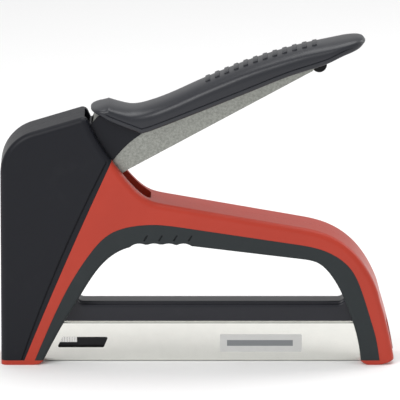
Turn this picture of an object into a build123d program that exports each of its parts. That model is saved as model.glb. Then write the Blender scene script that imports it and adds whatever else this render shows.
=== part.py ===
"""Hand-operated staple gun: squeeze lever, sprung striker and rear-loading staple magazine."""
from build123d import *
import math
import os

# Frame: X runs from the nose (-X) to the rear foot (+X), Y across the width, Z up, feet on z = 0.

# ---- housing -------------------------------------------------------------------------------
half_width = 15.0  # housing, each side of the middle plane
edge_round = 3.0  # rounding along the outside edges
grip_round = 1.5  # rounding along the finger opening
liner = 1.6  # red inner layer that carries the cover and the grip
liner_half_width = 12.4
hollow_half_width = 10.8
sole_height = 2.3  # red soles under both feet
slot_half_width = 9.0  # slot in the top for the lever
slot_end_x = -23.5  # rear end of that slot
slot_floor_z = 79.0  # above the screw post under the slot
rim_x = -56.6  # rear edge of the top wall, where the slot starts
tunnel_half_width = 7.3  # passage for the magazine through both feet
tunnel_top_z = 20.8
screw_places = [(-66.0, 113.0), (-83.0, 42.0), (-42.0, 75.0), (-5.0, 74.2), (60.0, 62.5), (79.5, 36.0)]
screw_radius = 1.5
screw_head_radius = 2.6
screw_sink_radius = 2.8
boss_radius = 3.4
pilot_depth = 9.2  # screw holes in the left half, from the middle
finger_front_x = -29.4  # first finger hollow
finger_pitch = 7.4
ledge_top_z = 66.0  # rib that carries the stop buffer
ledge_rear_x = -76.0

# ---- crossbar above the magazine -----------------------------------------------------------
bar_half_width = 8.0
bar_low_z = 21.0
bar_top_z = 30.5
bar_front_x = -67.0
bar_rear_x = 77.5

# ---- lever ---------------------------------------------------------------------------------
pivot_x = -53.0
pivot_z = 99.0
pin_radius = 3.0
bush_radius = 4.0
running_gap = 0.05
lever_travel = 37.0  # degrees
arm_length = 31.0  # pivot to lift studs
arm_half_width = 7.5
arm_sheet = 1.2
grip_half_width = 14.0
grip_edge_round = 4.0
shroud_sheet = 1.0
stud_radius = 2.0
bumper_x = 60.3  # rubber bumper under the rear end of the lever
bumper_z = 151.9
bumper_radius = 3.8
bumper_half_width = 6.2

# ---- striker -------------------------------------------------------------------------------
blade_front_x = -93.6
blade_thickness = 1.3
blade_half_width = 5.2
seat_z = 73.0  # underside of the spring seat, striker down
seat_thickness = 1.3
spring_x = -84.3
spring_top_z = 107.0
spring_radius = 5.0  # to the middle of the wire
spring_wire = 1.9
wing_half_width = 8.9
wing_sheet = 1.0

# ---- magazine ------------------------------------------------------------------------------
channel_front_x = -92.15
channel_rear_x = 88.8
channel_half_width = 7.0
channel_low_z = 0.4
channel_top_z = 20.6
channel_sheet = 0.9
core_half_width = 4.7
core_top_z = 18.7
core_low_z = 1.0
staple_half_width = 5.3
staple_wire = 0.5
staple_leg_z = 9.3  # leg tips; the crown rests on the core
strip_rear_x = -60.6
pusher_front_x = -60.5
pusher_rear_x = -40.0
pusher_half_width = 5.7
tongue_start = 10.0  # behind the pusher's front edge
tongue_length = 8.0
rod_z = 9.0
rod_radius = 1.5
rod_front_x = -57.0
catch_front_x = 89.2

start_angle = math.radians(lever_travel / 2)
stud_x = pivot_x - arm_length * math.cos(start_angle)
stud_z = pivot_z - arm_length * math.sin(start_angle)
blade_rear_x = blade_front_x + blade_thickness

os.makedirs("parts", exist_ok=True)


def write(block, label):
    block.part.label = label
    export_step(block.part, f"parts/{label}.step")


# ---- side outlines of the housing ----------------------------------------------------------
with BuildSketch(Plane.XZ) as arch:
    with BuildLine():
        Polyline((-77.6, 1.6), (-79.8, 0.35), (-82.5, 0), (-98.5, 0), (-98.5, 98.0))
        TangentArc((-98.5, 98.0), (-82.9, 119.1), tangent=(0, 1))
        Line((-82.9, 119.1), (-56.0, 127.2))
        Spline(
            (-56.0, 127.2), (-49.4, 113.8), (-41.0, 101.4), (-33.4, 91.9), (-25.7, 85.1), (-14.4, 81.8),
            tangents=((0.4, -0.92), (0.985, -0.173)),
        )
        Line((-14.4, 81.8), (51.6, 70.2))
        Spline(
            (51.6, 70.2), (63.5, 67.1), (75.6, 59.8), (82.2, 52.4), (86.6, 45.0), (89.6, 38.0), (91.3, 31.5),
            tangents=((0.985, -0.173), (0.24, -0.97)),
        )
        ThreePointArc((91.3, 31.5), (95.1, 17.5), (98.0, 2.8))
        ThreePointArc((98.0, 2.8), (93.8, 0.8), (89.5, 0))
        Polyline((89.5, 0), (85.0, 0), (81.5, 1.8))
        Spline(
            (81.5, 1.8), (79.4, 14.9), (74.2, 30.9), (67.9, 43.8), (61.8, 50.9), (51.6, 54.2),
            tangents=((-0.08, 1), (-0.99, 0.121)),
        )
        Line((51.6, 54.2), (0, 60.5))
        Spline(
            (0, 60.5), (-15, 61.6), (-29.5, 61.2), (-38.8, 58.5), (-47.4, 52.0), (-57.9, 36.9), (-67.5, 20.8),
            (-77.6, 1.6), tangents=((-0.99, 0.121), (-0.45, -0.89)),
        )
    make_face()

# the space inside the red liner
with BuildSketch(Plane.XZ) as hollow:
    with BuildLine():
        Polyline(
            (-94.3, 4), (-94.3, 98.5), (-92.5, 106.3), (-88.5, 111.0), (-82, 114.4), (-59, 121.4),
            (-53.1, 111.6), (-44.3, 98.7), (-36.2, 88.8), (-27.5, 81.2), (-15.1, 77.6), (51, 65.9),
            (60, 63.6), (68.5, 59.4), (76.5, 52.0), (82.0, 43.6), (85.8, 32.5), (90.2, 17.5), (93.2, 4),
            (85.4, 4), (83.6, 15), (78.2, 31.3), (71.7, 45.8), (63.9, 54.7), (52.1, 58.5), (0, 64.8),
            (-15, 65.8), (-29.5, 65.4), (-40.6, 62.3), (-50.6, 54.8), (-61.5, 39.2), (-71.2, 22.7),
            (-80.8, 4), close=True,
        )
    make_face()

# the space inside the outer skins
with BuildSketch(Plane.XZ) as skin_inside:
    add(hollow.sketch_local)
    offset(amount=liner, kind=Kind.INTERSECTION, mode=Mode.REPLACE)

# the black front cover, ahead of a slanting line from the slot to the toe
with BuildSketch(Plane.XZ) as cover_region:
    with BuildLine():
        ThreePointArc((-86.9, sole_height), (-65.9, 53.0), (-42.3, 106.0))
        Polyline((-42.3, 106.0), (-36, 122), (-36, 140), (-110, 140))
        Polyline((-110, 140), (-110, sole_height), (-86.9, sole_height))
    make_face()

# the black grip round the finger opening
with BuildSketch(Plane.XZ) as grip_region:
    with BuildLine():
        Spline(
            (-81.7, sole_height), (-65.5, 38.6), (-53.6, 57.6), (-43.9, 67.4), (-28.6, 71.8), (-8.2, 70.7),
            tangents=((0.39, 0.92), (0.99, -0.15)),
        )
        Line((-8.2, 70.7), (51.6, 61.6))
        Spline(
            (51.6, 61.6), (66.9, 57.0), (76.1, 49.6), (81.8, 38.0), (87.3, 20.2), (90.9, sole_height),
            tangents=((0.99, -0.15), (0.13, -0.99)),
        )
        Line((90.9, sole_height), (-81.7, sole_height))
    make_face()


def near_slab(sketch, reach):
    with BuildPart() as slab:
        extrude(sketch, amount=reach)
    return slab.part


# the left half of the solid housing, rounded along the front, the handle and the finger opening
with BuildPart() as half_body:
    extrude(arch.sketch, amount=half_width)
    fillet(half_body.edges().sort_by_distance((-98.5, -half_width, 49))[0], edge_round)
    fillet(half_body.edges().sort_by_distance((18.6, -half_width, 76))[0], edge_round)
    fillet(half_body.edges().sort_by_distance((25.8, -half_width, 57.4))[0], grip_round)

skin_space = near_slab(skin_inside.sketch, liner_half_width)
liner_space = near_slab(hollow.sketch, hollow_half_width)
cover_slab = near_slab(cover_region.sketch, half_width + 1)
grip_slab = near_slab(grip_region.sketch, half_width + 1)

# everything that both halves leave open: lever slot, magazine tunnel, nose pocket, crossbar sockets
with BuildPart() as passages:
    with BuildSketch(Plane.XY.offset(slot_floor_z)):
        with Locations(((rim_x + slot_end_x) / 2, 0)):
            Rectangle(slot_end_x - rim_x, 2 * slot_half_width)
    extrude(amount=60)
    fillet(passages.edges().filter_by(Axis.Z).group_by(Axis.X)[-1], 4)
    with BuildSketch(Plane.XY.offset(-1)):
        with Locations(((blade_rear_x + 110) / 2, 0)):
            Rectangle(110 - blade_rear_x, 2 * tunnel_half_width)
    extrude(amount=tunnel_top_z + 1)
    with BuildSketch(Plane.XY.offset(-1)):
        with Locations((-93.8, 0)):
            Rectangle(3.2, 18.4)
    extrude(amount=63.3)
    with BuildSketch(Plane.XY.offset(tunnel_top_z)):
        with Locations(((bar_front_x + bar_rear_x) / 2, 0)):
            Rectangle(bar_rear_x - bar_front_x + 0.4, 2 * bar_half_width + 0.4)
    extrude(amount=bar_top_z + 0.2 - tunnel_top_z)

# screw posts, pivot boss, the ledge under the stop buffer and the block over the main spring
with BuildPart() as inner_ribs:
    with BuildSketch(Plane.XZ):
        with Locations(*screw_places):
            Circle(boss_radius)
    extrude(amount=hollow_half_width + 1)
    with BuildSketch(Plane.XZ.offset(wing_half_width)):
        with Locations((pivot_x, pivot_z)):
            Circle(pin_radius + 3)
    extrude(amount=hollow_half_width + 1 - wing_half_width)
    with BuildSketch(Plane.XY.offset(ledge_top_z)):
        with Locations(((blade_rear_x + 0.2 + ledge_rear_x) / 2, -hollow_half_width / 2 - 0.25)):
            Rectangle(ledge_rear_x - blade_rear_x - 0.2, hollow_half_width + 0.5)
    extrude(amount=-4)
    with BuildSketch(Plane.XY.offset(spring_top_z + 1.2)):
        with Locations((spring_x, -2.9)):
            Rectangle(11, 5.8)
    extrude(amount=8)
    add(skin_space, mode=Mode.INTERSECT)

# red half shell: outer skin, soles, inner liner and ribs
with BuildPart() as red_half:
    add(half_body.part)
    add(skin_space, mode=Mode.SUBTRACT)
    add(cover_slab, mode=Mode.SUBTRACT)
    add(grip_slab, mode=Mode.SUBTRACT)
    add(skin_space)
    add(liner_space, mode=Mode.SUBTRACT)
    add(inner_ribs.part)
    add(passages.part, mode=Mode.SUBTRACT)
    with BuildSketch(Plane.XZ):
        with Locations((pivot_x, pivot_z)):
            Circle(pin_radius)
    extrude(amount=liner_half_width, mode=Mode.SUBTRACT)

with BuildPart() as black_cover:
    add(half_body.part)
    add(skin_space, mode=Mode.SUBTRACT)
    add(cover_slab, mode=Mode.INTERSECT)
    add(passages.part, mode=Mode.SUBTRACT)
    # a fine groove that runs beside the slanting edge
    with BuildSketch(Plane.XZ.offset(half_width - 0.5)):
        with BuildLine():
            ThreePointArc((-88.6, sole_height), (-69.3, 53.5), (-45.3, 105.4))
            Line((-45.3, 105.4), (-44.7, 105.2))
            ThreePointArc((-44.7, 105.2), (-68.7, 53.3), (-88.0, sole_height))
            Line((-88.0, sole_height), (-88.6, sole_height))
        make_face()
    extrude(amount=1, mode=Mode.SUBTRACT)

with BuildPart() as black_grip:
    add(half_body.part)
    add(skin_space, mode=Mode.SUBTRACT)
    add(grip_slab, mode=Mode.INTERSECT)
    add(passages.part, mode=Mode.SUBTRACT)
    # shallow finger hollows along the underside of the handle
    with BuildSketch(Plane.XZ):
        with Locations(*[(finger_front_x + finger_pitch * i, 56.3) for i in range(4)]):
            Circle(6.2)
    extrude(amount=half_width, mode=Mode.SUBTRACT)
    # a short slanting notch in the side above each hollow
    with BuildSketch(Plane.XZ.offset(half_width - 0.7)):
        with Locations(*[Location((finger_front_x + 3.3 + finger_pitch * i, 65.2), 58) for i in range(4)]):
            SlotOverall(3.4, 0.8)
    extrude(amount=1, mode=Mode.SUBTRACT)


for layer, half in {"shell": red_half, "cover": black_cover, "grip": black_grip}.items():
    with BuildPart() as left_half:
        add(half.part)
        with BuildSketch(Plane.XZ):
            with Locations(*screw_places):
                Circle(screw_radius + running_gap)
        extrude(amount=pilot_depth, mode=Mode.SUBTRACT)
    write(left_half, f"{layer}_left")
    with BuildPart() as right_half:
        add(half.part)
        mirror(about=Plane.XZ, mode=Mode.REPLACE)
        with BuildSketch(Plane.XZ):
            with Locations(*screw_places):
                Circle(screw_radius + 0.2)
        extrude(amount=-half_width, mode=Mode.SUBTRACT)
        with BuildSketch(Plane.XZ.offset(-liner_half_width)):
            with Locations(*screw_places):
                Circle(screw_sink_radius)
        extrude(amount=-3, mode=Mode.SUBTRACT)
    write(right_half, f"{layer}_right")

with BuildPart() as housing_screws:
    with BuildSketch(Plane.XZ.offset(pilot_depth - 0.2)):
        with Locations(*screw_places):
            Circle(screw_radius)
    extrude(amount=-liner_half_width - pilot_depth + 0.2)
    with BuildSketch(Plane.XZ.offset(-liner_half_width)):
        with Locations(*screw_places):
            Circle(screw_head_radius)
    extrude(amount=-1.9)
    with BuildSketch(Plane.XZ.offset(-liner_half_width - 1.9)):
        with Locations(*screw_places):
            Rectangle(2.8, 0.8)
            Rectangle(0.8, 2.8)
    extrude(amount=1.1, mode=Mode.SUBTRACT)
write(housing_screws, "housing_screws")

# ---- crossbar ------------------------------------------------------------------------------
with BuildPart() as crossbar:
    with BuildSketch(Plane.YZ.offset(bar_front_x)):
        with BuildLine():
            Polyline((0, bar_top_z), (5.9, bar_top_z), (6.4, bar_top_z - 1.0), (6.9, bar_top_z - 1.0))
            ThreePointArc((6.9, bar_top_z - 1.0), (7.7, bar_top_z - 1.4), (8.0, bar_top_z - 2.2))
            Polyline((8.0, bar_top_z - 2.2), (7.8, bar_low_z), (5.6, bar_low_z), (5.6, bar_top_z - 2.2))
            Line((5.6, bar_top_z - 2.2), (0, bar_top_z - 2.2))
            mirror(about=Plane.YZ)
        make_face()
    extrude(amount=bar_rear_x - bar_front_x)
write(crossbar, "crossbar")

# ---- magazine ------------------------------------------------------------------------------
with BuildPart() as magazine_channel:
    with BuildSketch(Plane.YZ.offset(channel_front_x)):
        with Locations((0, (channel_low_z + channel_top_z) / 2)):
            channel_outline = Rectangle(2 * channel_half_width, channel_top_z - channel_low_z)
        fillet(channel_outline.vertices().group_by(Axis.Y)[-1], 1.4)
        with Locations((0, (channel_low_z + channel_top_z) / 2 - channel_sheet)):
            Rectangle(
                2 * (channel_half_width - channel_sheet), channel_top_z - channel_low_z, mode=Mode.SUBTRACT
            )
    extrude(amount=channel_rear_x - channel_front_x)
    # slanting window that shows how many staples are left
    with BuildSketch(Plane.XZ) as window:
        Polygon((-67.8, 12.4), (-45.0, 12.4), (-47.3, 7.1), (-70.6, 7.1), align=None)
        fillet(window.vertices(), 0.7)
    extrude(amount=channel_half_width, both=True, mode=Mode.SUBTRACT)
write(magazine_channel, "magazine_channel")

with BuildPart() as magazine_core:
    with BuildSketch(Plane.YZ.offset(channel_front_x)):
        with Locations((0, (core_low_z + core_top_z) / 2)):
            Rectangle(2 * core_half_width, core_top_z - core_low_z)
        with Locations((0, (core_low_z + core_top_z) / 2 + channel_sheet)):
            Rectangle(2 * (core_half_width - channel_sheet), core_top_z - core_low_z, mode=Mode.SUBTRACT)
        with Locations((0, core_low_z + channel_sheet / 2)):
            Rectangle(2 * (channel_half_width - channel_sheet), channel_sheet)
    extrude(amount=channel_rear_x - channel_front_x)
write(magazine_core, "magazine_core")

with BuildPart() as staple_strip:
    with BuildSketch(Plane.YZ.offset(channel_front_x)):
        with Locations((0, (staple_leg_z + core_top_z + staple_wire) / 2)):
            Rectangle(2 * staple_half_width, core_top_z + staple_wire - staple_leg_z)
        with Locations((0, (staple_leg_z + core_top_z - staple_wire) / 2)):
            Rectangle(
                2 * (staple_half_width - staple_wire), core_top_z + staple_wire - staple_leg_z,
                mode=Mode.SUBTRACT,
            )
    extrude(amount=strip_rear_x - channel_front_x)
write(staple_strip, "staple_strip")

with BuildPart() as front_plate:
    with BuildSketch(Plane.XY.offset(0.6)):
        with Locations((-94.55, 0)):
            Rectangle(1.5, 18)
    extrude(amount=61.4)
    with BuildSketch(Plane.YZ.offset(-96)):
        with Locations((0, 30)):
            SlotCenterToCenter(20, 4, rotation=90)
    extrude(amount=3, mode=Mode.SUBTRACT)
write(front_plate, "front_plate")

with BuildPart() as magazine_label:
    with BuildSketch(Plane.XZ.offset(channel_half_width)):
        with Locations((31.5, 9.3)):
            RectangleRounded(41, 8.9, 0.6)
    extrude(amount=0.12)
write(magazine_label, "magazine_label")

# ---- staple pusher and its loader ----------------------------------------------------------
with BuildPart() as pusher:
    with BuildSketch(Plane.YZ.offset(pusher_front_x)):
        with Locations((0, 13.7)):
            Rectangle(2 * pusher_half_width, 11.6)
        with Locations((0, 13.1)):
            Rectangle(2 * pusher_half_width - 1.3, 11.6, mode=Mode.SUBTRACT)
    extrude(amount=pusher_rear_x - pusher_front_x)
    # tongue between the core walls, with a running hole for the rod
    with BuildSketch(Plane.YZ.offset(pusher_front_x + tongue_start)):
        with Locations((0, 12.3)):
            Rectangle(6.6, 13.4)
    extrude(amount=tongue_length)
    with BuildSketch(Plane.YZ.offset(pusher_front_x)):
        with Locations((0, rod_z)):
            Circle(rod_radius + running_gap)
    extrude(amount=pusher_rear_x - pusher_front_x, mode=Mode.SUBTRACT)
write(pusher, "pusher")

with BuildPart() as pusher_rod:
    with BuildSketch(Plane.YZ.offset(rod_front_x)):
        with Locations((0, rod_z)):
            Circle(rod_radius)
    extrude(amount=catch_front_x + 2 - rod_front_x)
write(pusher_rod, "pusher_rod")

with BuildPart() as loader_catch:
    with BuildSketch(Plane.XZ):
        with BuildLine():
            Polyline((catch_front_x, 1.4), (catch_front_x, 19.4), (92.6, 19.4), (92.8, 9.5), (95.6, 8.8))
            ThreePointArc((95.6, 8.8), (96.6, 5.6), (95.4, 2.6))
            Polyline((95.4, 2.6), (92.8, 1.4), (catch_front_x, 1.4))
        make_face()
    extrude(amount=6.8, both=True)
    fillet(loader_catch.edges().filter_by(Axis.Z), 0.8)
    with BuildSketch(Plane.YZ.offset(catch_front_x)):
        with Locations((0, rod_z)):
            Circle(rod_radius)
    extrude(amount=2, mode=Mode.SUBTRACT)
write(loader_catch, "loader_catch")

# ---- striker -------------------------------------------------------------------------------
with BuildPart() as driver_blade:
    with BuildSketch(Plane.XY.offset(1)):
        with Locations((blade_front_x + blade_thickness / 2, 0)):
            Rectangle(blade_thickness, 2 * blade_half_width)
    extrude(amount=80)
    with BuildSketch(Plane.YZ.offset(blade_front_x)):
        with Locations((-3, 77), (3, 77)):
            Circle(1)
    extrude(amount=blade_thickness, mode=Mode.SUBTRACT)
write(driver_blade, "driver_blade")

with BuildPart() as striker_carriage:
    # side wings with the lift slots, seen from the side
    with BuildSketch(Plane.XZ):
        with BuildLine():
            Polyline(
                (blade_rear_x, seat_z), (-77.5, seat_z), (-77.5, 84), (-78.6, 86), (-78.6, stud_z + 3.4),
                (-84.6, stud_z + 3.4), (-87.8, stud_z + 0.4), (-87.8, 86), (blade_rear_x, 84.5), close=True,
            )
        make_face()
        with Locations((stud_x - 0.8, stud_z)):
            SlotOverall(6.6, 2 * stud_radius + 0.7, mode=Mode.SUBTRACT)
    extrude(amount=wing_half_width, both=True)
    with BuildSketch(Plane.XY.offset(seat_z + seat_thickness)):
        with Locations((-80, 0)):
            Rectangle(22, 2 * (wing_half_width - wing_sheet))
    extrude(amount=40, mode=Mode.SUBTRACT)
    with BuildSketch(Plane.YZ.offset(blade_rear_x)):
        with Locations((-3, 77), (3, 77)):
            Circle(1)
    extrude(amount=3, mode=Mode.SUBTRACT)
write(striker_carriage, "striker_carriage")

with BuildPart() as blade_rivets:
    with BuildSketch(Plane.YZ.offset(blade_front_x + 0.1)):
        with Locations((-3, 77), (3, 77)):
            Circle(1)
    extrude(amount=blade_thickness + 1.2)
    with BuildSketch(Plane.YZ.offset(blade_rear_x + 1.3)):
        with Locations((-3, 77), (3, 77)):
            Circle(1.5)
    extrude(amount=0.6)
write(blade_rivets, "blade_rivets")


def coil(radius, wire, length, turns, start, direction):
    with BuildPart() as spring:
        with BuildLine():
            path = Helix(
                pitch=length / turns, height=length, radius=radius, center=start, direction=direction
            )
        with BuildSketch(Plane(origin=path @ 0, z_dir=path % 0)):
            Circle(wire / 2)
        sweep(is_frenet=True)
    return spring


spring_base_z = seat_z + seat_thickness + spring_wire / 2 + 0.1
main_spring = coil(
    spring_radius, spring_wire, spring_top_z - spring_wire / 2 - 0.1 - spring_base_z, 6,
    (spring_x, 0, spring_base_z), (0, 0, 1),
)
write(main_spring, "main_spring")

with BuildPart() as spring_cap:
    with BuildSketch(Plane.XY.offset(spring_top_z)):
        with Locations((spring_x, 0)):
            Circle(6.2)
            Circle(1.5, mode=Mode.SUBTRACT)
    extrude(amount=1.2)
write(spring_cap, "spring_cap")

with BuildPart() as stop_buffer:
    with BuildSketch(Plane.XY.offset(ledge_top_z)):
        with Locations((-84.5, 0)):
            RectangleRounded(13, 16, 1)
    extrude(amount=seat_z - 0.1 - ledge_top_z)
    fillet(stop_buffer.edges().group_by(Axis.Z)[-1], 0.6)
write(stop_buffer, "stop_buffer")

# ---- lever ---------------------------------------------------------------------------------
with BuildPart() as pivot_pin:
    with BuildSketch(Plane.XZ.offset(liner_half_width - 0.1)):
        with Locations((pivot_x, pivot_z)):
            Circle(pin_radius)
    extrude(amount=-2 * liner_half_width + 0.2)
    chamfer(pivot_pin.edges().group_by(Axis.Y)[0] + pivot_pin.edges().group_by(Axis.Y)[-1], 0.4)
write(pivot_pin, "pivot_pin")

with BuildPart() as pivot_bush:
    with BuildSketch(Plane.XZ.offset(arm_half_width)):
        with Locations((pivot_x, pivot_z)):
            Circle(bush_radius)
            Circle(pin_radius + running_gap, mode=Mode.SUBTRACT)
    extrude(amount=-2 * arm_half_width)
write(pivot_bush, "pivot_bush")

# the pressed steel channel, seen from the side
with BuildSketch(Plane.XZ) as arm_side:
    with BuildLine():
        Polyline((57, 149), (-35.3, 98.5), (-46.5, 91), (-53, 89.5), (-59.5, 92), (-81.1, 85.4))
        ThreePointArc((-81.1, 85.4), (-86.2, 87.9), (-83.7, 93))
        Polyline((-83.7, 93), (-66, 99), (-58.5, 106), (-52, 124.5), (-44, 128.2))
        Spline((-44, 128.2), (-33, 126.9), (-21, 129.4), (-3, 137.3), (21, 147.7), (45, 155.6), (62, 159.9))
        Polyline((62, 159.9), (60, 153.5), (57, 149))
    make_face()

with BuildPart() as lever_arm:
    extrude(arm_side.sketch, amount=arm_half_width, both=True)
    # hollow it from below: two cheeks under a top sheet
    with BuildSketch(Plane.XZ):
        with BuildLine():
            Polyline((-52, 123.3), (-44, 127.0))
            Spline((-44, 127), (-33, 125.7), (-21, 128.2), (-3, 136.1), (21, 146.5), (45, 154.4), (62, 158.7))
            Polyline((62, 158.7), (70, 150), (70, 70), (-100, 70), (-100, 130), (-52, 130), (-52, 123.3))
        make_face()
    extrude(amount=arm_half_width - arm_sheet, both=True, mode=Mode.SUBTRACT)
    with BuildSketch(Plane.XZ):
        with Locations((pivot_x, pivot_z)):
            Circle(bush_radius)
        with Locations((stud_x, stud_z)):
            Circle(stud_radius)
    extrude(amount=arm_half_width, both=True, mode=Mode.SUBTRACT)
write(lever_arm, "lever_arm")

with BuildPart() as lift_studs:
    for side in (-1, 1):
        with BuildSketch(Plane.XZ.offset(side * (arm_half_width - arm_sheet))):
            with Locations((stud_x, stud_z)):
                Circle(stud_radius)
        extrude(amount=side * (arm_sheet + 1.9))
write(lift_studs, "lift_studs")

# black side plates over the root of the lever
with BuildSketch(Plane.XZ) as shroud_side:
    with BuildLine():
        ThreePointArc((-26.8, 118), (-35.15, 111.7), (-42, 104))
        Polyline(
            (-42, 104), (-47, 96), (-50, 92.2), (-57, 92.2), (-61, 99), (-58.7, 106.2), (-52.9, 122.5),
            (-49.8, 126.2), (-44.8, 126.5), (-37.2, 123.3), (-28, 120.3), (-26.8, 118),
        )
    make_face()
shroud_inner_y = arm_half_width + running_gap
shroud_outer_y = shroud_inner_y + shroud_sheet

with BuildPart() as lever_shroud:
    extrude(shroud_side.sketch, amount=shroud_outer_y, both=True)
    extrude(shroud_side.sketch, amount=shroud_inner_y, both=True, mode=Mode.SUBTRACT)
    with BuildSketch(Plane.XZ):
        Polygon((-58.7, 106.2), (-52.9, 122.5), (-54.0, 122.5), (-59.8, 106.2), align=None)
    extrude(amount=shroud_outer_y, both=True)
    with BuildSketch(Plane.XZ):
        with Locations((pivot_x, pivot_z)):
            Circle(bush_radius + 0.5)
    extrude(amount=shroud_outer_y, both=True, mode=Mode.SUBTRACT)
write(lever_shroud, "lever_shroud")

# one half of the grip: a band with a rounded top edge, cut to its side outline and its plan
with BuildPart() as half_grip:
    with BuildSketch(Plane.XZ):
        with BuildLine():
            Spline(
                (-60, 136.6), (-44.5, 132.2), (-39, 130.7), (-33, 129.7), (-27, 130.6), (-15, 134.8),
                (3, 143), (27, 152.8), (51, 160.2), (66, 163.4), (78, 165.6), (92, 168),
            )
            Polyline((92, 168), (92, 110), (-60, 110), (-60, 136.6))
        make_face()
    extrude(amount=grip_half_width)
    fillet(half_grip.edges().sort_by_distance((20, -grip_half_width, 150))[0], grip_edge_round)
    with BuildSketch(Plane.XZ):
        with BuildLine():
            Polyline((78, 180), (-44.5, 180), (-44.5, 132.2), (-53, 130.2), (-53.4, 128.6), (-49.5, 127.6))
            Polyline((-49.5, 127.6), (-44.8, 125), (-37.2, 121.8), (-28, 118.3))
            Spline(
                (-28, 118.3), (-23.1, 119.8), (-2.65, 127.9), (22.7, 138.2), (44.4, 147.1), (63.3, 153.4),
                (72, 157.5), (80, 160.2),
            )
            ThreePointArc((80, 160.2), (83.2, 163.4), (78, 165.6))
            Line((78, 165.6), (78, 180))
        make_face()
    extrude(amount=grip_half_width + 1, mode=Mode.INTERSECT)
    with BuildSketch(Plane.XY.offset(110)):
        with BuildLine():
            ThreePointArc((-53.4, 0), (-50.5, -9.2), (-43, -grip_half_width))
            Line((-43, -grip_half_width), (62, -grip_half_width))
            Spline((62, -grip_half_width), (77, -10.5), (83.5, 0), tangents=((1, 0), (0, 1)))
            Line((83.5, 0), (-53.4, 0))
        make_face()
    extrude(amount=80, mode=Mode.INTERSECT)

with BuildPart() as lever_grip:
    add(half_grip.part)
    mirror(about=Plane.XZ)
    extrude(arm_side.sketch, amount=shroud_inner_y, both=True, mode=Mode.SUBTRACT)
    extrude(shroud_side.sketch, amount=shroud_outer_y + running_gap, both=True, mode=Mode.SUBTRACT)
    with BuildSketch(Plane.XZ):
        with Locations((bumper_x, bumper_z)):
            Circle(bumper_radius)
        with Locations((bumper_x - 0.7, bumper_z + 3.1)):
            Rectangle(4.4, 4.8)
    extrude(amount=bumper_half_width, both=True, mode=Mode.SUBTRACT)
write(lever_grip, "lever_grip")

with BuildPart() as lever_bumper:
    with BuildSketch(Plane.XZ):
        with Locations((bumper_x, bumper_z)):
            Circle(bumper_radius)
        with Locations((bumper_x - 0.7, bumper_z + 3.1)):
            Rectangle(4.4, 4.8)
        add(arm_side.sketch_local, mode=Mode.SUBTRACT)
    extrude(amount=bumper_half_width, both=True)
write(lever_bumper, "lever_bumper")

return_spring = coil(5.2, 1.2, 6.4, 4, (pivot_x, -3.2, pivot_z), (0, 1, 0))
write(return_spring, "return_spring")

# compression spring round the loader rod, from the pusher's tongue to the catch
rod_spring_start_x = pusher_front_x + tongue_start + tongue_length + 0.5
pusher_spring = coil(
    2.8, 0.7, catch_front_x - 0.5 - rod_spring_start_x, 26, (rod_spring_start_x, 0, rod_z), (1, 0, 0)
)
write(pusher_spring, "pusher_spring")
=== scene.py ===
import bpy
import bmesh
import math
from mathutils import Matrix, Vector


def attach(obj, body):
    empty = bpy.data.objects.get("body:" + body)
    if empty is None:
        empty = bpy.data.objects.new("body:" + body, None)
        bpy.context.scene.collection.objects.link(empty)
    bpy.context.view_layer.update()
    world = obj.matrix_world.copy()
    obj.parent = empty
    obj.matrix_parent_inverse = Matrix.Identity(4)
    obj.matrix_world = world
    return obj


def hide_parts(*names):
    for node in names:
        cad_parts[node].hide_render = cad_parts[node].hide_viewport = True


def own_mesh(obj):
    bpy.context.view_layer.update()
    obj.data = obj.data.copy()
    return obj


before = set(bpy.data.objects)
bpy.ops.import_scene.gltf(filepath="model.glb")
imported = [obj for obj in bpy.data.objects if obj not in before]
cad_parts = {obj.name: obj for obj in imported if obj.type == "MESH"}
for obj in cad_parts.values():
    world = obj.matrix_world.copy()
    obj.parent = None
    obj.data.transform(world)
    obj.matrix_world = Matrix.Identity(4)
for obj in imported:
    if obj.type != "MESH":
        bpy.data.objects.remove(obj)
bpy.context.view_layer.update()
scene = bpy.context.scene
scene.view_settings.view_transform = "Standard"
mm = 0.001
print("frame loaded,", len(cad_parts), "nodes")

# camera, lights and floor
studio = {
    "elevation": 13.5,
    "distance": 4.0,
    "lens": 720.0,
    "aim": (0.0010, 0.0, 0.0813),
    "floorColor": (0.93, 0.93, 0.93, 1),
    "floorReach": 6,
    "floorRoughness": 0.9,
    "worldStrength": 0.60,
    "lightAim": (0, 0, 0.08),
}
lamps = {
    "keyLight": {"place": (-0.7, -0.9, 0.9), "size": (0.7, 0.7), "power": 8.0},
    "topLight": {"place": (0.1, 0.2, 1.2), "size": (1.0, 0.8), "power": 7.0},
    "rimLight": {"place": (0.9, 0.5, 0.6), "size": (0.5, 0.7), "power": 3.0},
}


def addLight(name, place, size, power):
    light = bpy.data.lights.new(name, "AREA")
    light.shape = "RECTANGLE"
    light.size, light.size_y = size
    light.energy = power
    lamp = bpy.data.objects.new(name, light)
    lamp.location = place
    aim = Vector(studio["lightAim"]) - Vector(place)
    lamp.rotation_euler = aim.to_track_quat("-Z", "Y").to_euler()
    scene.collection.objects.link(lamp)


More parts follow.
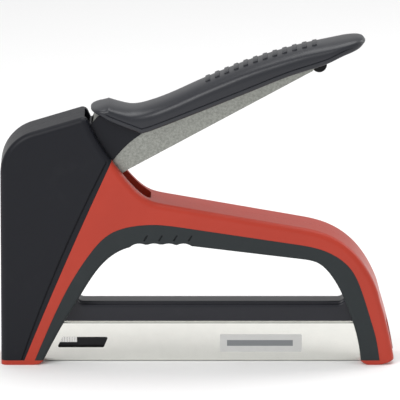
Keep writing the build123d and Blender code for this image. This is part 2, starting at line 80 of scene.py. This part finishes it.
def buildStudio():
    tilt = math.radians(studio["elevation"])
    lens = bpy.data.cameras.new("productCamera")
    lens.lens = studio["lens"]
    lens.sensor_width = 36
    camera = bpy.data.objects.new("productCamera", lens)
    back = Vector((0, -math.cos(tilt), math.sin(tilt))) * studio["distance"]
    camera.location = Vector(studio["aim"]) + back
    camera.rotation_euler = (math.pi / 2 - tilt, 0, 0)
    scene.collection.objects.link(camera)
    scene.camera = camera
    world = bpy.data.worlds.new("paleRoom")
    world.use_nodes = True
    sky = world.node_tree.nodes["Background"].inputs
    sky["Color"].default_value = (1, 1, 1, 1)
    sky["Strength"].default_value = studio["worldStrength"]
    scene.world = world
    for name, lamp in lamps.items():
        addLight(name, lamp["place"], lamp["size"], lamp["power"])
    floorMesh = bpy.data.meshes.new("studioFloor")
    reach = studio["floorReach"]
    corners = [(-reach, -reach, 0), (reach, -reach, 0), (reach, reach, 0), (-reach, reach, 0)]
    floorMesh.from_pydata(corners, [], [(0, 1, 2, 3)])
    floor = bpy.data.objects.new("studioFloor", floorMesh)
    scene.collection.objects.link(floor)
    paint = bpy.data.materials.new("studioFloorPaint")
    paint.use_nodes = True
    coat = paint.node_tree.nodes["Principled BSDF"].inputs
    coat["Base Color"].default_value = studio["floorColor"]
    coat["Roughness"].default_value = studio["floorRoughness"]
    floorMesh.materials.append(paint)


buildStudio()
print("studio ready")


# a shader socket that can be used in ordinary arithmetic
class Wire:
    def __init__(self, maker, socket):
        self.maker = maker
        self.socket = socket

    def maths(self, operation, *values):
        return self.maker.node("ShaderNodeMath", {"operation": operation}, dict(enumerate(values)))

    def __add__(self, other):
        return self.maths("ADD", self, other)

    __radd__ = __add__

    def __sub__(self, other):
        return self.maths("SUBTRACT", self, other)

    def __rsub__(self, other):
        return self.maths("SUBTRACT", other, self)

    def __mul__(self, other):
        return self.maths("MULTIPLY", self, other)

    __rmul__ = __mul__


# one material: its node tree, its principled shader and one way to add any other node
class MaterialMaker:
    def __init__(self, name):
        self.material = bpy.data.materials.new(name)
        self.material.use_nodes = True
        self.tree = self.material.node_tree
        self.shader = self.tree.nodes["Principled BSDF"]

    def plug(self, socket, value):
        if isinstance(value, Wire):
            self.tree.links.new(value.socket, socket)
        else:
            socket.default_value = value

    def node(self, kind, settings=None, values=None, output=0):
        made = self.tree.nodes.new(kind)
        for key, value in (settings or {}).items():
            if key == "stops":
                ramp = made.color_ramp
                while len(ramp.elements) < len(value):
                    ramp.elements.new(0.5)
                for element, (place, color) in zip(ramp.elements, value):
                    element.position = place
                    element.color = color
            else:
                setattr(made, key, value)
        for key, value in (values or {}).items():
            self.plug(made.inputs[key], value)
        return Wire(self, made.outputs[output])

    def coords(self):
        return self.node("ShaderNodeTexCoord", output="Object")

    def stretched(self, scale):
        return self.node("ShaderNodeMapping", None, {"Vector": self.coords(), "Scale": scale})

    def noise(self, scale, detail=3.0, roughness=0.55, vector=None):
        values = {"Vector": vector or self.coords(), "Scale": scale}
        values.update({"Detail": detail, "Roughness": roughness})
        return self.node("ShaderNodeTexNoise", None, values)

    def smoothMask(self, value, low, high):
        stops = [(low, (0, 0, 0, 1)), (high, (1, 1, 1, 1))]
        return self.node("ShaderNodeValToRGB", {"stops": stops}, {0: value})

    def mixed(self, amount, first, second):
        return self.node("ShaderNodeMix", {"data_type": "RGBA"}, {0: amount, 6: first, 7: second}, 2)

    def setShader(self, **values):
        for key, value in values.items():
            self.plug(self.shader.inputs[key.replace("_", " ")], value)

    def bump(self, height, strength, distance, edge=0.0):
        values = {"Height": height, "Strength": strength, "Distance": distance}
        if edge:
            values["Normal"] = self.node("ShaderNodeBevel", {"samples": 4}, {"Radius": edge})
        self.plug(self.shader.inputs["Normal"], self.node("ShaderNodeBump", None, values))


# a darker or lighter shade of a colour
def shade(color, factor):
    return tuple(min(1, part * factor) for part in color[:3]) + (1,)


plastics = {
    "redShell": {
        "color": (0.43, 0.040, 0.021), "rough": 0.36, "grain": 0.10,
        "edge": 0.0006, "dust": 0.04, "gloss": 0.30,
    },
    "blackCover": {
        "color": (0.0095, 0.0102, 0.0140), "rough": 0.40, "grain": 0.16,
        "edge": 0.0007, "dust": 0.04, "gloss": 0.20,
    },
    "softGrip": {
        "color": (0.023, 0.028, 0.030), "rough": 0.60, "grain": 0.22,
        "edge": 0.0005, "dust": 0.06, "gloss": 0.25,
    },
    "leverPlastic": {
        "color": (0.0165, 0.0180, 0.0235), "rough": 0.33, "grain": 0.14,
        "edge": 0.0, "dust": 0.04, "gloss": 0.46,
    },
    "barPlastic": {
        "color": (0.0125, 0.0130, 0.0185), "rough": 0.32, "grain": 0.12,
        "edge": 0.0, "dust": 0.05, "gloss": 0.35,
    },
    "blackRubber": {
        "color": (0.010, 0.010, 0.011), "rough": 0.7, "grain": 0.25,
        "edge": 0.0, "dust": 0.10, "gloss": 0.20,
    },
}


# noise scales of every plastic, and how far the colour wanders
plasticGrain = {
    "cloudScale": 28.0, "fineScale": 2600.0, "coarseScale": 420.0, "scuffScale": 75.0,
    "colorRange": 0.12, "scuffPaler": 0.10, "depth": 0.0002,
}


# moulded plastic: fine spark-eroded grain, faint cloudiness, slightly dusty patches
def makePlastic(name):
    look = plastics[name]
    g = plasticGrain
    maker = MaterialMaker(name)
    cloud = maker.noise(g["cloudScale"], 4.0)
    grain = maker.noise(g["fineScale"], 2.0, 0.6)
    coarse = maker.noise(g["coarseScale"], 3.0)
    dark, light = shade(look["color"], 1 - g["colorRange"]), shade(look["color"], 1 + g["colorRange"])
    base = maker.mixed(cloud, dark, light)
    scuffs = maker.smoothMask(maker.noise(g["scuffScale"], 6.0, 0.7), 0.56, 0.78)
    pale = tuple(part + g["scuffPaler"] for part in look["color"]) + (1,)
    maker.setShader(Base_Color=maker.mixed(scuffs * look["dust"], base, pale))
    maker.setShader(Roughness=look["rough"] + (cloud - 0.5) * 0.10 + (coarse - 0.5) * 0.08)
    maker.shader.inputs["Specular IOR Level"].default_value = look["gloss"]
    maker.bump(grain * 0.6 + coarse * 0.4, look["grain"], g["depth"], look["edge"])
    return maker.material


metals = {
    "brightChrome": {
        "color": (0.81, 0.81, 0.765), "rough": 0.13, "vary": 0.05,
        "scratch": 0.05, "mottle": 190.0,
    },
    "galvanisedSteel": {
        "color": (0.42, 0.43, 0.395), "rough": 0.42, "vary": 0.55,
        "scratch": 0.12, "mottle": 780.0,
    },
    "plainSteel": {"color": (0.55, 0.55, 0.54), "rough": 0.30, "vary": 0.10, "scratch": 0.08},
    "springSteel": {"color": (0.42, 0.42, 0.43), "rough": 0.28, "vary": 0.12, "scratch": 0.04},
    "stapleSteel": {"color": (0.78, 0.78, 0.76), "rough": 0.24, "vary": 0.08, "scratch": 0.03},
    # near-black steel for the pusher and loader catch; on the magazine core the same near-black is painted
    # shade for the dark inside of the window below the staples
    "blackSteelAndPaintedShade": {"color": (0.03, 0.03, 0.032), "rough": 0.38, "vary": 0.15, "scratch": 0.06},
    "turnedBrass": {"color": (0.72, 0.52, 0.22), "rough": 0.26, "vary": 0.10, "scratch": 0.05},
    "zincScrew": {"color": (0.62, 0.63, 0.62), "rough": 0.30, "vary": 0.12, "scratch": 0.05},
}


# noise scales of every metal; a small first stretch draws a pattern out along X
metalGrain = {
    "mottleScale": 190.0, "lineScale": 120.0, "lineStretch": (0.35, 8.0, 8.0),
    "scratchScale": 340.0, "scratchStretch": (0.12, 3.0, 3.0),
    "bump": 0.05, "depth": 0.0002, "edge": 0.0003,
}


# sheet or drawn metal: rolling lines along X, soft mottling and a few fine scratches
def makeMetal(name):
    look = metals[name]
    g = metalGrain
    maker = MaterialMaker(name)
    blotches = maker.noise(look.get("mottle", g["mottleScale"]), 6.0, 0.72)
    mottle = maker.smoothMask(blotches, 0.30, 0.70)
    lines = maker.noise(g["lineScale"], 5.0, 0.7, maker.stretched(g["lineStretch"]))
    streaks = maker.noise(g["scratchScale"], 3.0, 0.8, maker.stretched(g["scratchStretch"]))
    scratch = maker.smoothMask(streaks, 0.62, 0.70)
    dark = shade(look["color"], 1 - look["vary"])
    maker.setShader(Base_Color=maker.mixed(mottle, dark, look["color"] + (1,)))
    maker.shader.inputs["Metallic"].default_value = 1.0
    rough = look["rough"] + (lines - 0.5) * 0.16 + (mottle - 0.5) * look["vary"] * 0.4
    maker.setShader(Roughness=rough + scratch * look["scratch"])
    maker.bump(lines * 0.7 + mottle * 0.3, g["bump"], g["depth"], g["edge"])
    return maker.material


# the label's plain band, in metres, and its colours
label = {
    "bandLow": 0.0078, "bandHigh": 0.0108, "bandFront": 0.0145, "bandRear": 0.0475,
    "bandColor": (0.20, 0.21, 0.22, 1),
    "paperDark": (0.55, 0.55, 0.535, 1), "paperLight": (0.62, 0.62, 0.61, 1),
    "wearScale": 160.0,
}


# pale printed film with one plain grey band
def makeLabelFilm():
    maker = MaterialMaker("labelFilm")

    def past(distance, edge):  # 0 before the edge, 1 from 0.05 mm beyond it
        return maker.smoothMask((distance - edge) * 1000.0, 0.0, 0.05)

    height = maker.node("ShaderNodeSeparateXYZ", None, {0: maker.coords()}, 2)
    above = past(height, label["bandLow"])
    below = 1 - past(height, label["bandHigh"])
    along = maker.node("ShaderNodeSeparateXYZ", None, {0: maker.coords()}, 0)
    inside = past(along, label["bandFront"]) * (1 - past(along, label["bandRear"]))
    band = above * below * inside
    wear = maker.noise(label["wearScale"], 4.0)
    paper = maker.mixed(wear, label["paperDark"], label["paperLight"])
    maker.setShader(Base_Color=maker.mixed(band, paper, label["bandColor"]))
    maker.setShader(Roughness=0.30 + wear * 0.12)
    maker.bump(wear, 0.04, 0.0001)
    return maker.material


finishes = {name: makePlastic(name) for name in plastics}
finishes.update({name: makeMetal(name) for name in metals})
finishes["labelFilm"] = makeLabelFilm()
nodeFinish = {
    "redShell": ["shell_left", "shell_right"],
    "blackCover": ["cover_left", "cover_right", "lever_shroud"],
    "softGrip": ["grip_left", "grip_right"],
    "leverPlastic": ["lever_grip"],
    "barPlastic": ["crossbar"],
    "blackRubber": ["stop_buffer", "lever_bumper"],
    "brightChrome": ["magazine_channel"],
    "galvanisedSteel": ["lever_arm", "front_plate", "striker_carriage"],
    "plainSteel": [
        "pivot_pin", "spring_cap", "lift_studs", "driver_blade", "blade_rivets", "pusher_rod",
    ],
    "springSteel": ["return_spring", "main_spring", "pusher_spring"],
    "stapleSteel": ["staple_strip"],
    # the magazine core gets this near-black as painted shade for the window's dark inside below the staples
    "blackSteelAndPaintedShade": ["pusher", "loader_catch", "magazine_core"],
    "turnedBrass": ["pivot_bush"],
    "zincScrew": ["housing_screws"],
    "labelFilm": ["magazine_label"],
}
for finish, nodeNames in nodeFinish.items():
    for nodeName in nodeNames:
        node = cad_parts[nodeName]
        node.data.materials.clear()
        node.data.materials.append(finishes[finish])
print("materials ready,", len(finishes))


# a smooth curve through (x, z) points, with a sharp turn at each point numbered in corners
def curveThrough(points, corners=()):
    slopes = []
    for i, point in enumerate(points):
        before = points[max(0, i - 1)]
        after = points[min(len(points) - 1, i + 1)]
        slopes.append((after[1] - before[1]) / (after[0] - before[0]))

    def height(x):
        for i in range(len(points) - 1):
            (x0, z0), (x1, z1) = points[i], points[i + 1]
            if x <= x1 or i == len(points) - 2:
                span = x1 - x0
                t = min(1, max(0, (x - x0) / span))
                chord = (z1 - z0) / span
                s0 = chord if i in corners else slopes[i]
                s1 = chord if i + 1 in corners else slopes[i + 1]
                a = 2 * t ** 3 - 3 * t ** 2 + 1
                b = t ** 3 - 2 * t ** 2 + t
                c = -2 * t ** 3 + 3 * t ** 2
                d = t ** 3 - t ** 2
                return a * z0 + b * span * s0 + c * z1 + d * span * s1

    return height


# skins a row of equal rings (millimetres) and closes both ends
def loftPiece(name, rings, finish, sharpAngle=40):
    count = len(rings[0])
    vertices = [Vector(point) * mm for ring in rings for point in ring]
    faces = []
    for r in range(len(rings) - 1):
        for k in range(count):
            n = (k + 1) % count
            faces.append((r * count + k, r * count + n, (r + 1) * count + n, (r + 1) * count + k))
    faces.append(tuple(range(count)))
    faces.append(tuple((len(rings) - 1) * count + k for k in range(count)))
    mesh = bpy.data.meshes.new(name)
    mesh.from_pydata(vertices, [], faces)
    return finishPiece(name, mesh, finish, sharpAngle)


def finishPiece(name, mesh, finish, sharpAngle=40):
    work = bmesh.new()
    work.from_mesh(mesh)
    bmesh.ops.remove_doubles(work, verts=work.verts, dist=1e-6)
    bmesh.ops.dissolve_degenerate(work, edges=work.edges, dist=1e-7)
    bmesh.ops.recalc_face_normals(work, faces=work.faces)
    bmesh.ops.triangulate(work, faces=[f for f in work.faces if len(f.verts) > 4])
    work.to_mesh(mesh)
    work.free()
    mesh.materials.clear()
    mesh.materials.append(finishes[finish])
    mesh.shade_smooth()
    mesh.set_sharp_from_angle(angle=math.radians(sharpAngle))
    piece = bpy.data.objects.new(name, mesh)
    scene.collection.objects.link(piece)
    return piece


# lever grip, lofted along X
leverGrip = {
    "halfWidth": 14.0,
    "frontX": -53.4,
    "noseLength": 10.6,
    "tipLength": 19.5,
    "rearX": 83.2,
    "topRound": 7.2,
    "noseRound": 3.6,
    "bottomRound": 1.2,
    "fullness": 2.7,
    "seamHeight": 2.6,
    "seamDepth": 0.35,
    "nosePowers": (3.2, 2.6),
    "tipPowers": (2.6, 2.4),
    "blendFrom": -44.5,  # where the top's rounding starts to grow from the nose's
    "blendLength": 22,
    "roundSteps": 14,
    "stations": 110,
    "creases": [-44.5, -28.0],
    "top": [
        (-53.4, 129.7), (-44.5, 132.2), (-39, 130.7), (-33, 129.7), (-27, 130.6), (-15, 134.8),
        (3, 143), (27, 152.8), (51, 160.2), (66, 163.4), (77, 165.4), (81.5, 165.2), (83.2, 163.6),
    ],
    "bottom": [
        (-53.4, 128.9), (-49.5, 127.6), (-44.8, 125), (-37.2, 121.8), (-28, 118.3), (-23.1, 119.8),
        (-2.65, 127.9), (22.7, 138.2), (44.4, 147.1), (63.3, 153.4), (72, 157.5), (80, 160.6), (83.2, 163.2),
    ],
}
gripTop = curveThrough(leverGrip["top"], corners=(1,))
gripBottom = curveThrough(leverGrip["bottom"], corners=(4,))


def gripHalfWidth(x):
    g = leverGrip
    noseStart = g["frontX"] + g["noseLength"]
    tipStart = g["rearX"] - g["tipLength"]
    if x < noseStart:
        t = (noseStart - x) / g["noseLength"]
        inner, outer = g["nosePowers"]
        return g["halfWidth"] * max(0.0, 1 - t ** inner) ** (1 / outer)
    if x > tipStart:
        t = (x - tipStart) / g["tipLength"]
        inner, outer = g["tipPowers"]
        return g["halfWidth"] * max(0.0, 1 - t ** inner) ** (1 / outer)
    return g["halfWidth"]


def gripRing(x):
    g = leverGrip
    top, bottom = gripTop(x), gripBottom(x)
    half = max(0.25, gripHalfWidth(x))
    tall = max(0.3, top - bottom)
    blend = min(1, max(0, (x - g["blendFrom"]) / g["blendLength"]))
    wanted = g["noseRound"] + (g["topRound"] - g["noseRound"]) * blend
    topRound = min(wanted, tall * 0.6, half * 0.8)
    low = min(g["bottomRound"], tall * 0.25, half * 0.4)
    seam = min(g["seamHeight"], tall * 0.45)
    depth = min(g["seamDepth"], half * 0.1, tall * 0.1)
    side = [(0, bottom), (half * 0.5, bottom), (half - low, bottom)]
    for a in (0.52, 1.05, 1.57):
        side.append((half - low + low * math.sin(a), bottom + low - low * math.cos(a)))
    side.append((half, bottom + seam - depth))
    side.append((half - depth, bottom + seam))
    side.append((half, bottom + seam + depth))
    power = 2 / g["fullness"]
    for i in range(g["roundSteps"] + 1):
        a = math.pi / 2 * i / g["roundSteps"]
        side.append((half * math.cos(a) ** power, top - topRound + topRound * math.sin(a) ** power))
    side[-1] = (0, top)
    left = [(x, -y, z) for y, z in side]
    right = [(x, y, z) for y, z in reversed(side[1:-1])]
    return left + right


# stations that crowd together towards both ends
def stationsAlong(start, end, count):
    places = []
    for i in range(count + 1):
        t = i / count
        places.append(start + (end - start) * (0.5 - 0.5 * math.cos(math.pi * t)))
    return places


gripPlaces = stationsAlong(leverGrip["frontX"], leverGrip["rearX"], leverGrip["stations"])
gripPlaces = sorted(set(leverGrip["creases"] + gripPlaces))
gripPiece = loftPiece("leverGrip", [gripRing(x) for x in gripPlaces], "leverPlastic", 38)
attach(gripPiece, "lever")
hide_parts("lever_grip")
print("lever grip ready")


# geometry nodes: one unit repeated along a path, turned to follow it, ended as plain mesh
def repeatAlong(name, path, unit, count, finish, follow=True, sharpAngle=35):
    tree = bpy.data.node_groups.new(name + "Tree", "GeometryNodeTree")
    face = tree.interface
    face.new_socket("Path", in_out="INPUT", socket_type="NodeSocketGeometry")
    countInput = face.new_socket("Count", in_out="INPUT", socket_type="NodeSocketInt")
    unitInput = face.new_socket("Unit", in_out="INPUT", socket_type="NodeSocketObject")
    finishInput = face.new_socket("Finish", in_out="INPUT", socket_type="NodeSocketMaterial")
    face.new_socket("Geometry", in_out="OUTPUT", socket_type="NodeSocketGeometry")
    add = tree.nodes.new
    link = tree.links.new
    start = add("NodeGroupInput")
    end = add("NodeGroupOutput")
    toCurve = add("GeometryNodeMeshToCurve")
    resample = add("GeometryNodeResampleCurve")
    tangent = add("GeometryNodeInputTangent")
    align = add("FunctionNodeAlignEulerToVector")
    align.axis = "X"
    source = add("GeometryNodeObjectInfo")
    place = add("GeometryNodeInstanceOnPoints")
    realize = add("GeometryNodeRealizeInstances")
    setFinish = add("GeometryNodeSetMaterial")
    link(start.outputs["Path"], toCurve.inputs["Mesh"])
    link(toCurve.outputs["Curve"], resample.inputs["Curve"])
    link(start.outputs["Count"], resample.inputs["Count"])
    link(resample.outputs["Curve"], place.inputs["Points"])
    link(start.outputs["Unit"], source.inputs["Object"])
    link(source.outputs["Geometry"], place.inputs["Instance"])
    if follow:
        link(tangent.outputs["Tangent"], align.inputs["Vector"])
        link(align.outputs["Rotation"], place.inputs["Rotation"])
    link(place.outputs["Instances"], realize.inputs["Geometry"])
    link(realize.outputs["Geometry"], setFinish.inputs["Geometry"])
    link(start.outputs["Finish"], setFinish.inputs["Material"])
    link(setFinish.outputs["Geometry"], end.inputs["Geometry"])
    pathMesh = bpy.data.meshes.new(name + "Path")
    pathMesh.from_pydata([Vector(p) * mm for p in path], [(i, i + 1) for i in range(len(path) - 1)], [])
    carrier = bpy.data.objects.new(name + "Carrier", pathMesh)
    scene.collection.objects.link(carrier)
    modifier = carrier.modifiers.new("repeat", "NODES")
    modifier.node_group = tree
    modifier[countInput.identifier] = count
    modifier[unitInput.identifier] = unit
    modifier[finishInput.identifier] = finishes[finish]
    view = carrier.evaluated_get(bpy.context.evaluated_depsgraph_get())
    mesh = bpy.data.meshes.new_from_object(view)
    mesh.name = name
    carrier.modifiers.remove(modifier)
    bpy.data.objects.remove(carrier)
    bpy.data.objects.remove(unit)
    return finishPiece(name, mesh, finish, sharpAngle)


# a bar with rounded corners, lying along Y, as the unit for the ribs
def roundedBar(name, sizes, bevel, rings=2):
    work = bmesh.new()
    bmesh.ops.create_cube(work, size=1)
    bmesh.ops.scale(work, verts=work.verts, vec=Vector(sizes) * mm)
    bmesh.ops.bevel(
        work, geom=work.edges[:], offset=bevel * mm, segments=rings, profile=0.5, affect="EDGES"
    )
    mesh = bpy.data.meshes.new(name)
    work.to_mesh(mesh)
    work.free()
    unit = bpy.data.objects.new(name, mesh)
    scene.collection.objects.link(unit)
    return unit


# grip ribs across the top of the lever grip
gripRibs = {
    "frontX": 5.0, "rearX": 58.0, "count": 12, "long": 12.0, "wide": 2.6,
    "tall": 1.8, "bevel": 0.5, "sunk": 0.45, "pathSteps": 39,
}
ribPath = []
for i in range(gripRibs["pathSteps"] + 1):
    x = gripRibs["frontX"] + (gripRibs["rearX"] - gripRibs["frontX"]) * i / gripRibs["pathSteps"]
    ribPath.append((x, 0, gripTop(x) - gripRibs["sunk"]))
ribUnit = roundedBar("ribUnit", (gripRibs["wide"], gripRibs["long"], gripRibs["tall"]), gripRibs["bevel"])
ribs = repeatAlong("leverGripRibs", ribPath, ribUnit, gripRibs["count"], "leverPlastic")
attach(ribs, "lever")
print("ribs ready")


# crossbar above the magazine, with a small fillet into each leg
crossbarSizes = {
    "frontX": -67.0, "rearX": 77.5, "top": 30.5, "low": 21.0,
    "fillet": 4.0, "frontLeg": -56.6, "rearLeg": 69.8, "filletSteps": 8,
    "between": [-40, -20, 0, 20, 40, 60],
}


def crossbarTop(x):
    c = crossbarSizes
    reach = max(0, c["frontLeg"] - x, x - c["rearLeg"])
    reach = min(reach, c["fillet"])
    return c["top"] + c["fillet"] - math.sqrt(c["fillet"] ** 2 - reach ** 2)


def crossbarRing(x):
    c = crossbarSizes
    top = crossbarTop(x)
    half = [
        (0, top), (3.0, top), (5.3, top), (5.75, top - 0.12), (6.0, top - 0.45), (6.1, top - 0.95),
        (6.3, top - 1.15), (6.6, top - 1.1), (6.9, top - 0.95), (7.3, top - 1.05),
        (7.65, top - 1.4), (7.85, top - 1.9), (7.95, top - 2.7), (7.9, c["low"] + 1),
        (7.8, c["low"]), (5.6, c["low"]), (5.6, top - 2.2), (0, top - 2.2),
    ]
    return [(x, -y, z) for y, z in half] + [(x, y, z) for y, z in reversed(half[1:-1])]


def crossbarPlaces():
    c = crossbarSizes
    steps = c["filletSteps"]
    reach = [c["fillet"] * math.sin(math.pi / 2 * i / steps) for i in range(steps + 1)]
    front = [c["frontLeg"] - step for step in reversed(reach)]
    rear = [c["rearLeg"] + step for step in reach]
    return [c["frontX"]] + front + c["between"] + rear + [c["rearX"]]


barPiece = loftPiece("crossbarMoulding", [crossbarRing(x) for x in crossbarPlaces()], "barPlastic", 50)
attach(barPiece, "housing")
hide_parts("crossbar")
print("crossbar ready")


# bright folded lip that closes the channel just under the crossbar
channelLip = {
    "frontX": -70.0, "rearX": 79.0, "low": 20.45, "high": 20.97,
    "halfWidth": 7.35, "round": 0.2, "lowRound": 0.1,
}


def lipRing(x):
    c = channelLip
    half = [
        (0, c["high"]), (c["halfWidth"] - c["round"], c["high"]),
        (c["halfWidth"], c["high"] - c["round"]), (c["halfWidth"], c["low"] + c["lowRound"]),
        (c["halfWidth"] - c["lowRound"], c["low"]), (0, c["low"]),
    ]
    return [(x, -y, z) for y, z in half] + [(x, y, z) for y, z in reversed(half[1:-1])]


lipRings = [lipRing(channelLip["frontX"]), lipRing(channelLip["rearX"])]
lipPiece = loftPiece("channelLip", lipRings, "brightChrome", 30)
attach(lipPiece, "housing")
print("channel lip ready")


# glued strip of staples
stapleSizes = {
    "count": 25, "frontX": -91.5, "rearX": -61.2, "halfWidth": 5.3,
    "crown": 19.2, "tips": 9.3, "wire": 0.5, "along": 1.2, "corner": 0.35,
}


def stapleUnit():
    s = stapleSizes
    w, t, cut = s["halfWidth"], s["wire"], s["corner"]
    tips, crown = s["tips"], s["crown"]
    outline = [
        (-w, tips), (-w, crown - cut), (-w + cut, crown),
        (w - cut, crown), (w, crown - cut), (w, tips),
    ]
    inner = [(w - t, tips), (w - t, crown - t), (-w + t, crown - t), (-w + t, tips)]
    ring = outline + inner
    vertices = []
    for x in (-s["along"] / 2, s["along"] / 2):
        vertices += [Vector((x, y, z)) * mm for y, z in ring]
    n = len(ring)
    faces = [(i, (i + 1) % n, n + (i + 1) % n, n + i) for i in range(n)]
    faces += [tuple(range(n - 1, -1, -1)), tuple(range(n, 2 * n))]
    mesh = bpy.data.meshes.new("stapleUnit")
    mesh.from_pydata(vertices, [], faces)
    work = bmesh.new()
    work.from_mesh(mesh)
    bmesh.ops.triangulate(work, faces=[f for f in work.faces if len(f.verts) > 4])
    bmesh.ops.recalc_face_normals(work, faces=work.faces)
    work.to_mesh(mesh)
    work.free()
    unit = bpy.data.objects.new("stapleUnit", mesh)
    scene.collection.objects.link(unit)
    return unit


staplePath = [(stapleSizes["frontX"], 0, 0), (stapleSizes["rearX"], 0, 0)]
staples = repeatAlong(
    "stapleStrip", staplePath, stapleUnit(), stapleSizes["count"], "stapleSteel", follow=False
)
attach(staples, "housing")
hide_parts("staple_strip")
print("staples ready")

# coil springs with closed end turns, each attached to its body; the fixed end and kept length are worked out
# but not applied
springSizes = {
    "mainSpring": {
        "node": "main_spring", "body": "housing", "joint": "striker_lift", "travel": 19.8,
        "radius": 5.0, "wire": 1.9, "low": 74.4, "high": 106.9, "turns": 7.2,
        "centre": (-84.3, 0), "along": "z", "sides": 10,
    },
    "pusherSpring": {
        "node": "pusher_spring", "body": "loader", "joint": "pusher_slide", "travel": 70.0,
        "radius": 2.8, "wire": 0.7, "low": -42.2, "high": 88.9, "turns": 32.0,
        "centre": (0, 9.0), "along": "x", "sides": 6,
    },
}
coilDetail = {"stepsPerTurn": 20, "closedTurns": 1.0, "closedPitch": 1.02}  # pitch in wire diameters


def coilPoint(c, turn):
    span = c["high"] - c["low"] - c["wire"]
    closed = coilDetail["closedTurns"]
    step = c["wire"] * coilDetail["closedPitch"]
    free = (span - 2 * closed * step) / (c["turns"] - 2 * closed)
    if turn < closed:
        rise = turn * step
    elif turn > c["turns"] - closed:
        rise = span - (c["turns"] - turn) * step
    else:
        rise = closed * step + (turn - closed) * free
    angle = 2 * math.pi * turn
    u, v = c["radius"] * math.cos(angle), c["radius"] * math.sin(angle)
    along = c["low"] + c["wire"] / 2 + rise
    first, second = c["centre"][0] + u, c["centre"][1] + v
    if c["along"] == "z":
        return Vector((first, second, along)), Vector((u, v, 0)).normalized()
    return Vector((along, first, second)), Vector((0, u, v)).normalized()


def buildSpring(name):
    c = springSizes[name]
    steps = int(c["turns"] * coilDetail["stepsPerTurn"])
    rings = []
    for i in range(steps + 1):
        centre, outward = coilPoint(c, c["turns"] * i / steps)
        ahead = coilPoint(c, c["turns"] * min(steps, i + 0.5) / steps)[0]
        behind = coilPoint(c, c["turns"] * max(0, i - 0.5) / steps)[0]
        upward = (ahead - behind).normalized().cross(outward)
        ring = []
        for k in range(c["sides"]):
            a = 2 * math.pi * k / c["sides"]
            ring.append(centre + (outward * math.cos(a) + upward * math.sin(a)) * c["wire"] / 2)
        rings.append(ring)
    piece = loftPiece(name, rings, "springSteel", 60)
    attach(piece, c["body"])
    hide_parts(c["node"])
    axis = (0, 0, 1) if c["along"] == "z" else (1, 0, 0)
    fixed = tuple(part * c["high"] * mm for part in axis)
    keep = 1 - c["travel"] / (c["high"] - c["low"])
    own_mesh(piece)


for springName in springSizes:
    buildSpring(springName)
print("springs ready")
